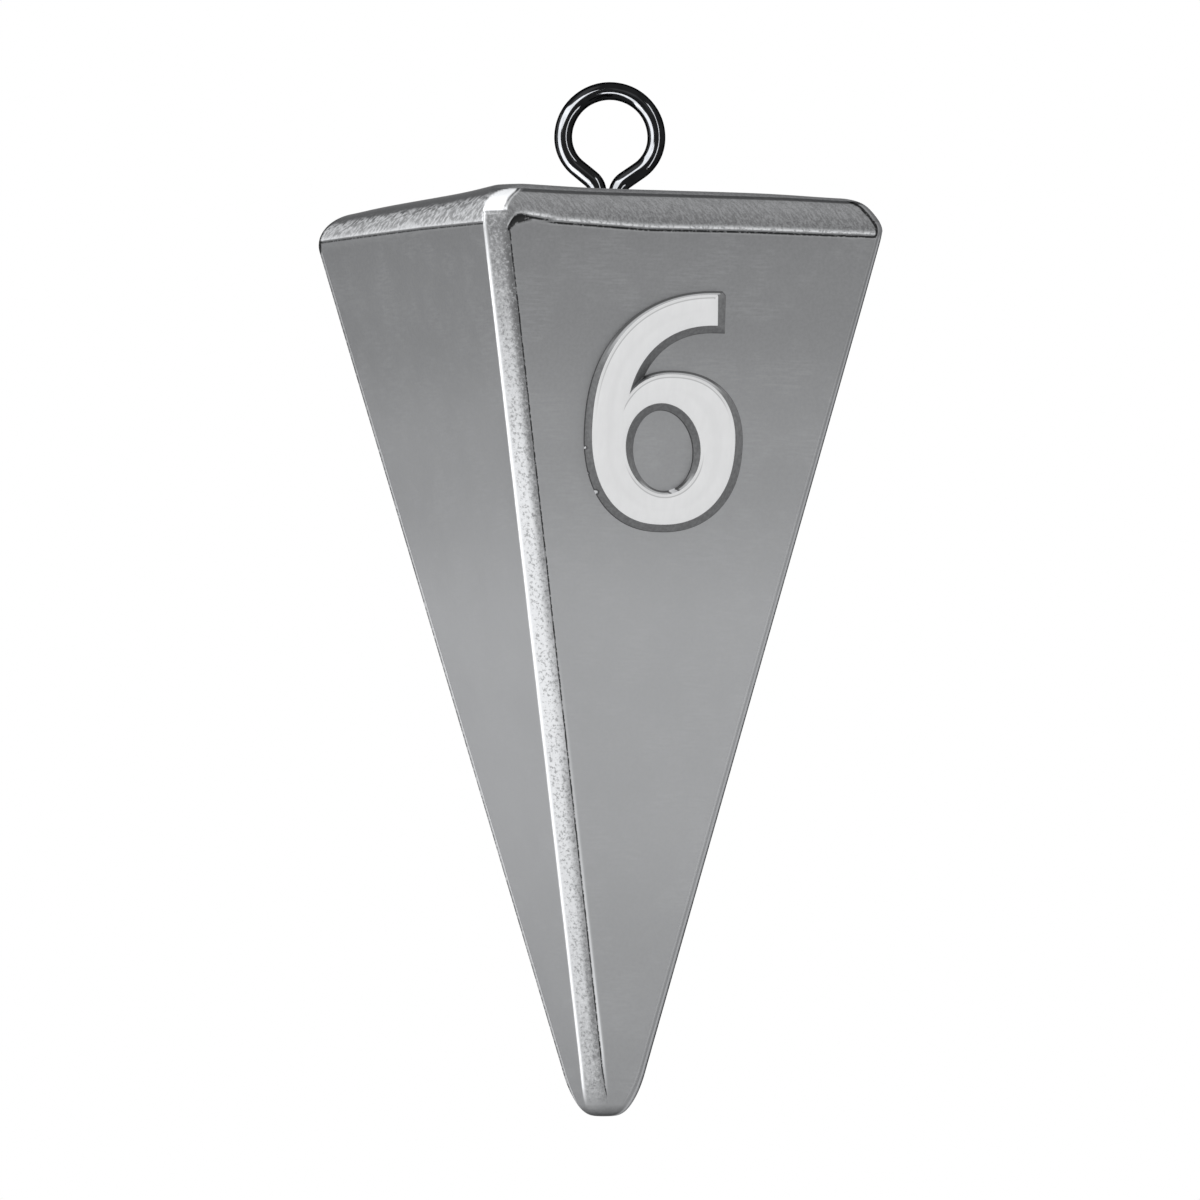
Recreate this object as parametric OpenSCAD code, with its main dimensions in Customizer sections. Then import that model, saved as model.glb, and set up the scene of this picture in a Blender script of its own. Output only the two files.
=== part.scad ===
// Pyramid fishing sinker: a square lead casting that hangs point down from a bent wire eye.
// One side carries its weight as a raised numeral with a white enamel face.
// Millimetres. The origin is the middle of the wire eye, +Z is up and -Y is the numeral's side.

/* [Lead casting] */
// Width of the square in which the four sides would meet the flat top
base_w = 27.2; // [18:0.1:40]
// Height from the flat top down to the point
body_h = 55.2; // [36:0.1:80]
// Width of the square in which the four sides would meet the level of the point
tip_w = 3.07; // [2:0.01:6]
// Radius of the rolled rim round the flat top
rim_r = 2; // [1:0.1:3]
// How much of each side the flat on a long edge takes off
edge_cut = 1.05; // [0.5:0.05:1.4]

/* [Weight numeral] */
// Height of the numeral's face
numeral_h = 14; // [9:0.1:18]
// Width of the numeral's face
numeral_w = 9.5; // [7.5:0.1:13]
// Width of the upright strokes
stroke_w = 2.15; // [1.2:0.05:2.6]
// Width of the level strokes
thin_stroke_w = 1.85; // [1:0.05:2.3]
// Distance down the side from its top edge to the numeral
numeral_drop = 6.39; // [4:0.01:12]
// Distance of the numeral's middle from the middle of the side, to the left
numeral_left = 0.73; // [0:0.01:2]
// How far the relief stands out of the side
relief_h = 0.42; // [0.2:0.01:0.8]
// Thickness of the enamel on the relief
enamel_t = 0.08; // [0.05:0.01:0.2]

/* [Wire eye] */
// Wire diameter
wire_d = 1.1; // [0.8:0.05:1.6]
// Clear width inside the eye
eye_bore = 4.54; // [3:0.01:7]
// Radius of each shoulder where the eye bends in below its widest, to the middle of the wire
shoulder_r = 2.42; // [1.8:0.01:2.7]
// How far each shoulder bends in
shoulder_turn = 53; // [40:0.5:62]
// Radius of the bend between each shoulder and its leg, to the middle of the wire
neck_r = 1.1; // [0.8:0.05:2]
// Gap between the two legs
leg_gap = 0.08; // [0.04:0.01:0.4]
// Height of the eye's middle over the flat top
eye_rise = 4.04; // [3.8:0.01:7]
// Distance of the wire from the middle of the casting, to the right
eye_shift = 0.73; // [0:0.01:2]
// Turn of the eye about the upright axis, away from facing the numeral's side
eye_turn = 24.5; // [0:0.5:45]
// Lean of the whole wire in its own plane
eye_lean = 2.7; // [0:0.1:6]
// Depth of the legs below the flat top, down to their outward bends
leg_depth = 11; // [6:0.5:16]
// Radius of the outward bend at the foot of each leg
anchor_r = 1.6; // [1:0.1:3]
// Straight length of wire after that bend
anchor_l = 2.4; // [1:0.1:4]

/* [Hidden] */
// Space between the wire and the lead round it
wire_clear = 0.02;
// How far one solid runs past or into another where they are cut or joined
overrun = 0.3;
// Steps across an edge's flat, round the rim, round the point and round a numeral's curve
edge_steps = 4;
rim_steps = 8;
tip_steps = 10;
numeral_steps = 10;
// Sides of a round bar
round_fn = 64;

// Crown of the flats on the long edges: 0 is flat and 1 a quarter circle
edge_crown_share = 0.15;
// Part of the point's height over which its section turns from square to round
tip_round_share = 0.6;
// How near to a full circle that section comes
tip_full_share = 0.96;
// Radius of the ball that joins two lengths of wire, as a share of the wire's own
joint_share = 1.02;
// Squareness of the numeral's curves: 1 is an ellipse, less is fuller
curve_share = 0.88;
// Where the numeral's curves turn, as shares of its width and height
arm_end_share = 0.81;
stem_turn_share = 0.541;
bowl_mid_x_share = 0.53;
bowl_mid_y_share = 0.671;
bowl_top_share = 0.349;
bowl_left_share = 0.385;
counter_x_share = 0.504;
counter_y_share = 0.672;
// Width of the bowl's strokes, as a share of the others
bowl_stroke_share = 0.95;
// Lean of the counter inside the bowl
counter_lean = 25;

// The sides of the casting
taper = atan2((base_w - tip_w) / 2, body_h);
// The point is the ball that touches all four sides and the point's level
tip_r = tip_w / 2 * cos(taper) / (1 - sin(taper));
rim_in = base_w / 2 - rim_r * (1 + sin(taper)) / cos(taper);

// The wire's middle line
wire_r = wire_d / 2;
eye_r = (eye_bore + wire_d) / 2;
leg_x = (wire_d + leg_gap) / 2;
neck_x = leg_x + neck_r;
shoulder_x = eye_r - shoulder_r;
shoulder_end_x = shoulder_x + shoulder_r * cos(shoulder_turn);
shoulder_end_y = -shoulder_r * sin(shoulder_turn);
slant_l = (shoulder_end_x - neck_x + neck_r * cos(shoulder_turn)) / sin(shoulder_turn);
neck_start_x = neck_x - neck_r * cos(shoulder_turn);
neck_start_y = shoulder_end_y - slant_l * cos(shoulder_turn);
neck_drop = neck_r * sin(shoulder_turn) - neck_start_y;
leg_end = eye_rise + leg_depth;

// The numeral, from its upper left corner
arm_x = numeral_w * arm_end_share;
stem_y = numeral_h * stem_turn_share;
bowl_x = numeral_w * bowl_mid_x_share;
bowl_y = numeral_h * bowl_mid_y_share;
bowl_up = numeral_h * (bowl_mid_y_share - bowl_top_share);
bowl_down = numeral_h - bowl_y;
bowl_right = numeral_w - bowl_x;
bowl_left = numeral_w * bowl_left_share;

// A square of half width a as a ring of points at height z. Its corners are cut off by cut:
// nearly straight across, or along a quarter circle where bulge is 1.
function square_ring(a, cut, z, bulge = edge_crown_share) = [
    for (corner = [0:3], i = [0:edge_steps])
        let (
            share = i / edge_steps,
            first = [cos(90 * corner), sin(90 * corner)],
            second = [-first.y, first.x],
            flat = first + (second - first) * share,
            arc = first * cos(90 * share) + second * sin(90 * share),
            place = (first + second) * (a - cut) + (flat + (arc - flat) * bulge) * cut
        )
        [place.x, place.y, z]
];

function tip_half(turn) = tip_r * cos(turn);

// How far the point's section has turned from square to round at an angle round its side
function tip_turned(turn) = min(1, (-turn - taper) / (90 - taper) / tip_round_share);

// Corner of the point's section: the edge's flat at the sides, nearly a full circle lower down
function tip_cut(turn) =
    let (square = edge_cut / tip_half(-taper))
    tip_half(turn) * min(tip_full_share, square + (1 - square) * tip_turned(turn));

function tip_bulge(turn) = edge_crown_share + (1 - edge_crown_share) * tip_turned(turn);

function rim_rings() = [
    for (i = [0:rim_steps])
        let (turn = 90 - (90 + taper) * i / rim_steps)
        square_ring(rim_in + rim_r * cos(turn), edge_cut, rim_r * (sin(turn) - 1))
];

function tip_rings() = [
    for (i = [0:tip_steps - 1])
        let (turn = -taper - (90 - taper) * i / tip_steps)
        square_ring(
            tip_half(turn), tip_cut(turn), tip_r * (1 + sin(turn)) - body_h, tip_bulge(turn)
        )
];

// A closed solid through rings of equal length, from the top down, that may end in a point
module loft(rings, point = []) {
    n = len(rings[0]);
    last = n * (len(rings) - 1);
    sides = [
        for (k = [0:n:last - n], i = [0:n - 1])
            let (next = (i + 1) % n)
            each [[k + i, k + next, k + n + i], [k + next, k + n + next, k + n + i]]
    ];
    top = [for (i = [0:n - 1]) n - 1 - i];
    bottom = point == []
        ? [[for (i = [0:n - 1]) last + i]]
        : [for (i = [0:n - 1]) [last + i, last + (i + 1) % n, last + n]];
    corners = [for (ring = rings) each ring];
    polyhedron(
        points = point == [] ? corners : concat(corners, [point]),
        faces = concat([top], bottom, sides)
    );
}

// The tapered block with its rolled rim, flats on its long edges and ball point
module blank() {
    loft(concat(rim_rings(), tip_rings()), [0, 0, -body_h]);
}

// A quarter curve of the numeral, from one angle on, without its last point unless asked
function quarter(cx, cy, rx, ry, from, last = numeral_steps - 1) = [
    for (i = [0:last])
        let (turn = from + 90 * i / numeral_steps)
        [
            cx + rx * sign(cos(turn)) * pow(abs(cos(turn)), curve_share),
            cy + ry * sign(sin(turn)) * pow(abs(sin(turn)), curve_share)
        ]
];

function backwards(points) = [for (i = [len(points) - 1:-1:0]) points[i]];

// The arm and the left stroke, down to the foot of the bowl
function stem_outline() = concat(
    quarter(arm_x, -stem_y, arm_x, stem_y, 90),
    quarter(bowl_x, -stem_y, bowl_x, numeral_h - stem_y, 180, numeral_steps),
    backwards(
        quarter(arm_x, -stem_y, arm_x - stroke_w, stem_y - thin_stroke_w, 90, numeral_steps)
    )
);

// The round bowl, with its left side lying inside the left stroke
function bowl_outline() = concat(
    quarter(bowl_x, -bowl_y, bowl_right, bowl_up, 0),
    quarter(bowl_x, -bowl_y, bowl_left, bowl_up, 90),
    quarter(bowl_x, -bowl_y, bowl_left, bowl_down, 180),
    quarter(bowl_x, -bowl_y, bowl_right, bowl_down, 270)
);

// The leaning counter inside the bowl
function counter_outline() = [
    for (i = [0:4 * numeral_steps - 1])
        let (
            turn = 90 * i / numeral_steps,
            x = (bowl_right - stroke_w * bowl_stroke_share) * cos(turn),
            y = (bowl_down - thin_stroke_w * bowl_stroke_share) * sin(turn)
        )
        [
            numeral_w * counter_x_share + x * cos(counter_lean) - y * sin(counter_lean),
            -numeral_h * counter_y_share + x * sin(counter_lean) + y * cos(counter_lean)
        ]
];

// A plate in the numeral's shape, from one height over the side to another
module numeral_plate(z_low, z_high) {
    translate([0, 0, z_low])
        linear_extrude(height = z_high - z_low)
            difference() {
                union() {
                    polygon(stem_outline());
                    polygon(bowl_outline());
                }
                polygon(counter_outline());
            }
}

// Moves what is drawn from the numeral's upper left corner onto the casting's numeral side
module on_side() {
    translate([-eye_shift, -base_w / 2, -eye_rise])
        rotate([90 + taper, 0, 0])
            translate([-numeral_left - numeral_w / 2, -numeral_drop, 0])
                children();
}

// A bar bent round the origin, from one angle on
module bend(radius, from, sweep, bar_r) {
    rotate([0, 0, from])
        rotate_extrude(angle = sweep, $fn = round_fn)
            translate([radius, 0])
                circle(r = bar_r, $fn = round_fn);
}

// A straight bar along one of the axes of the wire's own plane
module bar(place, turned, l, bar_r) {
    translate(place)
        rotate(turned)
            cylinder(h = l, r = bar_r, $fn = round_fn);
}

// The ball that joins two lengths of wire
module joint(place, bar_r) {
    translate(place)
        sphere(r = bar_r * joint_share, $fn = round_fn);
}

// Half of what hangs from the eye's bow: a shoulder, a neck, a leg and its outward end
module leg(bar_r, extra) {
    joint([eye_r, 0, 0], bar_r);
    translate([shoulder_x, 0, 0])
        bend(shoulder_r, -shoulder_turn, shoulder_turn, bar_r);
    joint([shoulder_end_x, shoulder_end_y, 0], bar_r);
    bar([shoulder_end_x, shoulder_end_y, 0], [90, 0, -shoulder_turn], slant_l, bar_r);
    joint([neck_start_x, neck_start_y, 0], bar_r);
    translate([neck_x, -neck_drop, 0])
        bend(neck_r, 180 - shoulder_turn, shoulder_turn, bar_r);
    joint([leg_x, -neck_drop, 0], bar_r);
    bar([leg_x, -neck_drop, 0], [90, 0, 0], leg_end - neck_drop, bar_r);
    joint([leg_x, -leg_end, 0], bar_r);
    translate([leg_x + anchor_r, -leg_end, 0])
        bend(anchor_r, 180, 90, bar_r);
    joint([leg_x + anchor_r, -leg_end - anchor_r, 0], bar_r);
    bar([leg_x + anchor_r, -leg_end - anchor_r, 0], [0, 90, 0], anchor_l + extra, bar_r);
}

// The whole wire, drawn flat, leaned over and then stood up and turned
module wire(bar_r, extra) {
    rotate([90, 0, -eye_turn])
        rotate([0, 0, -eye_lean]) {
            bend(eye_r, 0, 180, bar_r);
            leg(bar_r, extra);
            rotate([0, 180, 0])
                leg(bar_r, extra);
        }
}

// The space between the legs, where no lead runs in
module leg_slot() {
    rotate([0, eye_lean, -eye_turn])
        translate([-leg_x, -wire_r / 2, -leg_end])
            cube([2 * leg_x, wire_r, leg_depth + overrun]);
}

module lead_body() {
    color([0.5, 0.5, 0.51])
        difference() {
            union() {
                translate([-eye_shift, 0, -eye_rise])
                    blank();
                on_side()
                    numeral_plate(-overrun, relief_h);
            }
            wire(wire_r + wire_clear, wire_clear);
            leg_slot();
        }
}

module wire_eye() {
    color([0.12, 0.12, 0.13])
        wire(wire_r, 0);
}

module numeral_enamel() {
    color([0.86, 0.86, 0.86])
        on_side()
            numeral_plate(relief_h, relief_h + enamel_t);
}

lead_body();
wire_eye();
numeral_enamel();
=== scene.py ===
import math

import bpy
import numpy as np
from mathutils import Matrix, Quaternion, Vector
from mathutils.geometry import delaunay_2d_cdt


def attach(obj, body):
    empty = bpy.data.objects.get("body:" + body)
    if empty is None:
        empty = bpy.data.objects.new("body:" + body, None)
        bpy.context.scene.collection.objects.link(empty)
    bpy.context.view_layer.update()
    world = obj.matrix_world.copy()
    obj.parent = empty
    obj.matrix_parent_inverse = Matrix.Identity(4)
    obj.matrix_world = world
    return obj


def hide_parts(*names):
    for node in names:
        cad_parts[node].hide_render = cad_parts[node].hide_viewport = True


# Looks of a square lead pyramid sinker that hangs point down from a bent wire eye.
# Shapes are worked out in millimetres round the middle of the eye and made in metres.

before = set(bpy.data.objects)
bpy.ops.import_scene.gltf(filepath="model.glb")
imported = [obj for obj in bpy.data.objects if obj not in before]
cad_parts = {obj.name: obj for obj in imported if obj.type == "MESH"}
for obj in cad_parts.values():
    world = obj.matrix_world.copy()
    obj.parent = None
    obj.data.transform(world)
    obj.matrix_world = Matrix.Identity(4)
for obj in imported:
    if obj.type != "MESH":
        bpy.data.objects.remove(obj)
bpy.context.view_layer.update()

MM = 0.001

# Lead casting. Its corners are numbered round the top, and each side has the number of its first
# corner, so the numeral's side starts at the near corner.
BACK, LEFT, NEAR, RIGHT = range(4)
BASE_W = 27.2
BODY_H = 55.2
RIM_R = 2.0

# Rounded point: the width that the straight sides would end with, the height that is rounded,
# the two powers of its curve, how nearly the flats meet on it, and how much it swells
TIP_W = 3.07
TIP_REACH = 3.0
TIP_POWER = 2.5
TIP_BLUNT = 0.265
TIP_FULL = 0.96
TIP_SWELL = 0.2

# Flats on the long edges: how much each takes off a side at the point and at the rim, how far
# they bulge towards round, and how softly each meets the side before it and the side after it
EDGE_CUTS = ((0.72, 0.6), (0.75, 0.72), (0.9, 1.08), (0.75, 0.55))
EDGE_CROWN = 0.15
BORDER_SOFT = ((0.17, 0.17), (0.17, 0.17), (0.32, 0.14), (0.17, 0.17))

# Sunk panel of each side, with a groove along its border, painted dark as shade: the groove's
# section, how far from the flat it starts at each corner, its strength on the side before the
# corner and after it, and how its place and its strength vary on the way down
PANEL_DEPTH = 0.08
GROOVE_DEPTH = 0.08
GROOVE_PLACES = (-0.08, -0.03, 0.0, 0.04, 0.07, 0.1, 0.16, 0.21)
GROOVE_DEPTHS = (0.0, 0.008, 0.04, 0.12, 0.16, 0.155, 0.09, 0.08)
GROOVE_STARTS = (0.1, 0.1, 0.1, -0.02)
GROOVE_SHARES = ((0.6, 0.6), (0.6, 0.3), (0.25, 0.85), (0.0, 0.6))
BORDER_WOBBLE = 0.02
BORDER_WAVES = (11.0, 5.3, 2.4, 0.9, 0.5)
BORDER_SEED = 11
# Wobble of the groove's strength along it, in its depth and in its painted shade
GROOVE_WOBBLE = 0.5
GROOVE_WAVES = (3.1, 1.3, 0.7, 0.4)
GROOVE_SEED = 31

# Depth of each side's upper border below the flat top, from the side's first corner to its last,
# how narrow and how strong its groove is, and how dull the rim is above it
RIM_LINES = (
    ((-1.0, 0.0, 1.0), (2.1, 2.3, 2.1)),
    ((-1.0, 0.2, 1.0), (1.76, 2.02, 2.33)),
    ((-0.92, -0.895, -0.87, -0.83, -0.75, -0.668, -0.45, -0.2, 0.29, 0.7, 1.0),
     (2.75, 2.35, 2.02, 1.92, 1.97, 2.2, 2.33, 2.48, 2.44, 2.5, 2.53)),
    ((-1.0, 0.1, 1.0), (2.3, 2.3, 2.2)),
)
RIM_LINE_SCALES = (1.0, 1.0, 0.8, 1.0)
RIM_LINE_SHARES = (1.0, 0.6, 1.0, 1.0)
RIM_DULLNESS = (0.6, 0.0, 1.0, 0.8)

# Nook torn out of the numeral's side under the near end of its rim line: place along the side
# and place below the line, each with its spread, and depth
NOOK_ALONG = (-0.86, 0.055)
NOOK_BELOW = (0.12, 0.24)
NOOK_DEPTH = 0.14

# Step on the edges' flats where the rim ends: how far below the top, how deep, and how far down
# it fades out
CAP_LINE = 1.7
STEP_DEPTH = 0.03
STEP_FADE = 5

# Small bends of the rim: lift of each corner, and how far its right end is tucked in
CORNER_LIFTS = (0.0, -0.12, 0.17, -0.2)
LIFT_REACH = 4
END_TUCK = 0.33
TUCK_REACH = 3

# Flat top: a shallow shrinkage dish, and a collar of lead round the wire
DISH_DEPTH = 0.14
COLLAR_H = 0.3
COLLAR_SPREAD = 0.2

# Painted highlight on the near corner of the rim: where it starts and ends across the corner,
# at heights below the top, its lowest and highest height, and how softly it ends
CAP_START = ((-1.65, -1.12, -0.71, -0.44, -0.336), (0.0, 0.05, 0.33, 0.75, 1.2))
CAP_END = ((-1.62, -0.97, -0.46), (1.2, 1.42, 1.72))
CAP_BOTTOM = -1.67
CAP_TOP = -0.3
CAP_SOFT = 0.1

# Nick, painted dark as shade, and a painted highlight line just past its end, each at a place
# from there with its width
NICK = (-0.12, 0.05)
NICK_STRIPE = (-0.24, 0.06)

# Dark lines of painted shade and lines of painted highlight along the long edges, each at a
# place across the edge's flat with its width; the near one's place is its distance from the
# flat, and it lies on the lower half
LEFT_SHADE_LINE = (0.8, 0.12)
RIGHT_SHADE_LINE = (0.86, 0.13)
RIGHT_LINE = (0.45, 0.13)
NEAR_LINE = (0.3, 0.09)
NEAR_LINE_SPAN = (-BODY_H + 1.2, -BODY_H + 4, -27.0)

# Dark arc of painted shade round the rim's right end: its lowest and highest height, how far it
# stands from the edge's flat at two heights, and its width
ARC_SPAN = (-2.56, -0.3)
ARC_PLACE = ((-2.5, -1.2), (0.05, 0.26))
ARC_WIDTH = 0.13

# Weight numeral
NUMERAL_H = 14.0
NUMERAL_W = 9.5
STROKE_W = 2.15
THIN_STROKE_W = 1.85
NUMERAL_DROP = 6.39
NUMERAL_LEFT = 0.73
RELIEF_H = 0.42

# How far the foot of its flanks spreads to the right and upwards, and more sideways than up;
# how much shorter the arm is than in the CAD, how its end slants, and how its corner is rounded on
# the face and further at the foot
FOOT_SHIFT = (0.21, -0.19)
FOOT_STRETCH = 0.09
FACE_SHORT = 0.15
ARM_SLANT = 0.14
ARM_ROUND = 0.05
FOOT_ROUND = 0.2

# Chips in the flanks: place to the right of and below the numeral's upper left corner, and radius
CHIPS = (
    (3.05, 11.4, 0.2), (3.35, 11.75, 0.16), (5.8, 12.0, 0.28), (6.25, 11.5, 0.16), (-0.2, 9.5, 0.11),
    (0.1, 11.1, 0.14), (0.75, 12.2, 0.16),
)

# How squarish the strokes' curves are, the counter's lean in degrees, how wide the strokes are
# round it, and the spacing of the points within the face
CURVE_POWER = 0.88
COUNTER_LEAN = 25.0
BOWL_STROKE = 0.95
FIELD_STEP = 0.24

# Wire eye
WIRE_R = 0.55
EYE_BORE = 4.54
SHOULDER_R = 2.42
SHOULDER_TURN = math.radians(53)
NECK_R = 1.1
LEG_GAP = 0.08
EYE_RISE = 4.04
EYE_SHIFT = 0.73
EYE_TURN = math.radians(24.5)
EYE_LEAN = math.radians(2.7)
LEG_DEPTH = 11.0
ANCHOR_R = 1.6
ANCHOR_L = 2.4

# Section of the wire: its points, the places of its flats in degrees, their width and strength,
# and how its size varies along it
SECTION_POINTS = 48
WIRE_FLATS = (60, 120, 240, 300)
FLAT_WIDTH = math.radians(7)
FLAT_STRENGTH = 2.2
WIRE_SIZE = 0.99
WIRE_WOBBLE = 0.008
WIRE_WAVES = (9.0, 4.0, 2.2)
WIRE_SEED = 5

TAPER = math.atan2((BASE_W - TIP_W) / 2, BODY_H)
RIM_IN = BASE_W / 2 - RIM_R * (1 + math.sin(TAPER)) / math.cos(TAPER)
EYE_R = EYE_BORE / 2 + WIRE_R
LEG_X = WIRE_R + LEG_GAP / 2


def wander(places, seed, lengths):
    """A smooth seeded wobble between about -1 and 1 along a line of places in millimetres."""
    rng = np.random.RandomState(seed)
    total = np.zeros_like(places, dtype=float)
    for length in lengths:
        total += np.sin(2 * np.pi * places / length + rng.uniform(0, 2 * np.pi))
    return total / len(lengths)


def hill(values, middle, width):
    """A smooth hump of height 1 round its middle."""
    return np.exp(-((values - middle) / width) ** 2)


def rising(values, start, width):
    """Rises evenly from 0 at the start to 1 a width further on."""
    return np.clip((values - start) / width, 0, 1)


def lengths_along(line):
    """The length of a line up to each of its points."""
    return np.concatenate(([0], np.cumsum(np.linalg.norm(np.diff(line, axis=0), axis=1))))


def picked(line, steps, places):
    """The spots at places on a line, whose points lie at the steps."""
    return np.column_stack([np.interp(places, steps, line[:, axis]) for axis in (0, 1)])


def right_of(travel):
    """The directions to the right of each direction of travel."""
    way = np.column_stack((travel[:, 1], -travel[:, 0]))
    return way / np.linalg.norm(way, axis=1)[:, None]


def linked(name, data):
    """A new object in the scene."""
    made = bpy.data.objects.new(name, data)
    bpy.context.collection.objects.link(made)
    return made


def mesh_piece(name, points, faces, values=None):
    """A smooth-shaded object from points in millimetres, with named values kept on its points."""
    mesh = bpy.data.meshes.new(name)
    mesh.from_pydata((np.asarray(points) * MM).tolist(), [], faces)
    mesh.validate()
    mesh.update()
    mesh.polygons.foreach_set("use_smooth", [True] * len(mesh.polygons))
    for label, numbers in (values or {}).items():
        layer = mesh.attributes.new(label, "FLOAT", "POINT")
        layer.data.foreach_set("value", np.asarray(numbers, dtype=np.float32))
    return linked(name, mesh)


def ring_faces(rings, count):
    """Quads between rings of equal count, each ring closed on itself."""
    faces = []
    for ring in range(rings - 1):
        for i in range(count):
            following = (i + 1) % count
            low = ring * count
            high = low + count
            faces.append((low + i, high + i, high + following, low + following))
    return faces


# The casting is a stack of square rings. Each corner is drawn finely, softened and then picked
# at chosen places, so that every ring has the same points in the same order: those on the side
# before the edge, on the edge's flat and on the side after it, and then those of the panel.

SIDE_PICKS = np.array((
    1.0, 0.7, 0.5, 0.42, 0.37, 0.33, 0.3, 0.27, 0.245, 0.22, 0.195, 0.17, 0.145, 0.12, 0.09,
    0.06, 0.03,
))
HALF_PICKS = np.array((0.0, 0.035, 0.075, 0.12, 0.18, 0.26, 0.36, 0.45))
FLAT_PICKS = np.concatenate((HALF_PICKS, 1 - HALF_PICKS[::-1]))
SIDE_COUNT = len(SIDE_PICKS)
FLAT_COUNT = len(FLAT_PICKS)
CORNER = slice(0, 2 * SIDE_COUNT + FLAT_COUNT)
BEFORE = slice(0, SIDE_COUNT)
FLAT = slice(SIDE_COUNT, SIDE_COUNT + FLAT_COUNT)
AFTER = slice(SIDE_COUNT + FLAT_COUNT, CORNER.stop)
PANEL_SHARES = (1 - np.cos(np.linspace(0, np.pi, 25)[1:-1])) / 2
FINE_STEP = 0.01

# Distance of a corner's points from the edge's flat, and place across it, also for the panel's
AWAY = np.concatenate((SIDE_PICKS, np.zeros(FLAT_COUNT), SIDE_PICKS[::-1]))
ACROSS = np.concatenate((np.zeros(SIDE_COUNT), FLAT_PICKS, np.ones(SIDE_COUNT), 1 - PANEL_SHARES))

CASTING_VALUES = (
    "band", "groove", "rim", "lip", "across", "rise", "cap", "dull", "burnished", "line",
)


def soften(line, reach):
    """Moves each point of a finely stepped line to the average of its neighbours, twice."""
    half = max(1, int(round(reach / FINE_STEP / 2)))
    for _ in range(2):
        padded = np.concatenate((
            line[0] + (line[0] - line[1]) * np.arange(half, 0, -1)[:, None],
            line,
            line[-1] + (line[-1] - line[-2]) * np.arange(1, half + 1)[:, None],
        ))
        sums = np.cumsum(np.vstack((np.zeros((1, 2)), padded)), axis=0)
        line = (sums[2 * half + 1:] - sums[:-2 * half - 1]) / (2 * half + 1)
    return line


def sunk(past):
    """How far the surface lies under the border: the panel's share and the groove's extra."""
    depth = np.interp(past, GROOVE_PLACES, GROOVE_DEPTHS)
    return np.minimum(depth / PANEL_DEPTH, 1), np.maximum(depth - PANEL_DEPTH, 0)


def corner_cut(corner, half, z, turned):
    """How much the flat on an edge takes off each side: most on the near edge, less lower down."""
    low, high = EDGE_CUTS[corner]
    cut = float(np.interp(z, (-BODY_H, -RIM_R), (low, high)))
    if turned > 0:
        square = cut / (TIP_W / 2 + TIP_REACH * math.tan(TAPER))
        return half * min(TIP_FULL, square + (1 - square) * turned)
    return min(cut, half * 0.45)


def corner_points(half, cut, bulge, softness):
    """One corner of a ring: its points and outward directions."""
    reach = min(SIDE_PICKS[0], 0.9 * (half - cut))
    side_count = int(round(reach / FINE_STEP))
    flat_count = int(round(cut * math.sqrt(2) / FINE_STEP))
    share = np.linspace(0, 1, flat_count + 1)[:, None]
    first = np.array([[half, half - cut]])
    second = np.array([[half - cut, half]])
    arc = (half - cut) + cut * np.hstack((np.cos(share * np.pi / 2), np.sin(share * np.pi / 2)))
    flat = first + (second - first) * share
    flat = flat + (arc - flat) * bulge
    away = np.arange(side_count, 0, -1)[:, None] * FINE_STEP
    before = first - away * np.array([[0, 1]])
    after = (second - away * np.array([[1, 0]]))[::-1]
    line = np.vstack((before, flat, after))
    steps = np.arange(len(line))
    over = np.clip((steps - side_count) / max(1, flat_count), 0, 1)[:, None]
    over = over * over * (3 - 2 * over)
    line = soften(line, softness[0]) * (1 - over) + soften(line, softness[1]) * over
    scale = reach / SIDE_PICKS[0]
    places = np.concatenate((
        (reach - SIDE_PICKS * scale) / FINE_STEP,
        side_count + FLAT_PICKS * flat_count,
        side_count + flat_count + SIDE_PICKS[::-1] * scale / FINE_STEP,
    ))
    normal = right_of(picked(line, steps, places + 1) - picked(line, steps, places - 1))
    return picked(line, steps, places), normal


def body_profile():
    """Rows from the middle of the top down to the point: half width, height, rise and turning."""
    rows = []
    for half in np.concatenate((np.linspace(0.35, 4.4, 22), np.linspace(4.9, RIM_IN - 0.25, 12))):
        rows.append((half, 0.0, 1.0, 0.0))
    fine_z = np.arange(-1.38, RIM_R * (math.sin(-TAPER) - 1), -0.045)
    fine_turns = [math.asin(1 + z / RIM_R) for z in fine_z]
    for turn in np.concatenate((np.linspace(math.pi / 2, fine_turns[0], 22)[:-1], fine_turns)):
        rise = (turn + TAPER) / (math.pi / 2 + TAPER)
        rows.append((RIM_IN + RIM_R * math.cos(turn), RIM_R * (math.sin(turn) - 1), rise, 0.0))
    start_z = RIM_R * (math.sin(-TAPER) - 1)
    end_z = TIP_REACH - BODY_H
    length = (start_z - end_z) / math.cos(TAPER)
    near = np.arange(0, 0.42, 0.045)
    coarse = np.linspace(0.9, length - 0.1, 170)
    for along in np.concatenate((near, (0.5, 0.68), coarse)):
        z = start_z - along * math.cos(TAPER)
        rows.append((BASE_W / 2 + z * math.tan(TAPER), z, 0.0, 0.0))
    for share in np.linspace(1, 0.03, 36):
        up = TIP_REACH * share ** 2
        full = TIP_W / 2 + up * math.tan(TAPER)
        narrowed = (1 - (1 - up / TIP_REACH) ** TIP_POWER) ** TIP_BLUNT
        turned = (1 - share) ** 1.3
        rows.append((full * narrowed * (1 + TIP_SWELL * turned), up - BODY_H, 0.0, turned))
    return rows


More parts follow.
